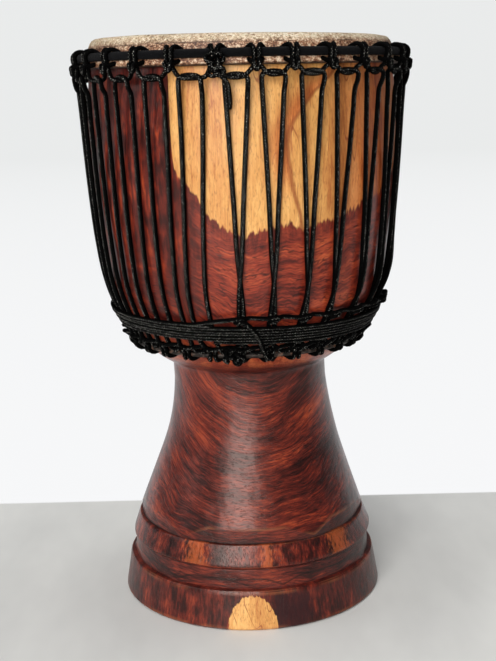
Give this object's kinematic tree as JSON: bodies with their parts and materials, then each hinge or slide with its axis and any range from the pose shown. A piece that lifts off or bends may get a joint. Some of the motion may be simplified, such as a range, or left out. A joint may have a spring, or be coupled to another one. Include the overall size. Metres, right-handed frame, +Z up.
{
  "type": "djembe drum",
  "caption": "Goblet-shaped hand drum: carved wooden shell, rawhide head held by steel rings, and braided rope lacing with a stored winding round the bowl.",
  "frame": {"origin": "middle of the foot, on the surface that the drum stands on", "axes": "+Z up along the drum's axis, -Y towards the player's side with the tie knot, +X to that side's right"},
  "size_m": [0.3596, 0.3616, 0.6096],
  "materials": {
    "wood": "oiled satin",
    "hide": "matte rawhide",
    "steel": "plain rod",
    "cloth": "tight cloth binding",
    "rope": "braided"
  },
  "bodies": {
    "drum": {"shell": "wood", "bottom_ring": "steel", "bottom_loops": "rope", "lacing_straight": "rope", "lacing_pulled": "rope", "weave_rope": "rope", "rope_winding": "rope", "winding_tie_strand": "rope", "winding_tie_knot": "rope"},
    "head": {"drumhead_skin": "hide", "flesh_ring": "steel", "crown_ring": "steel", "crown_ring_wrap": "cloth", "head_loops": "rope", "head_loops_knot": "rope"}
  },
  "joints": [
    {"name": "head_travel", "type": "slide", "parent": "drum", "child": "head", "axis": [0, 0, -1], "range_m": [-0.003, 0.006], "deforming": ["drumhead_skin", "lacing_straight", "lacing_pulled"]}
  ]
}
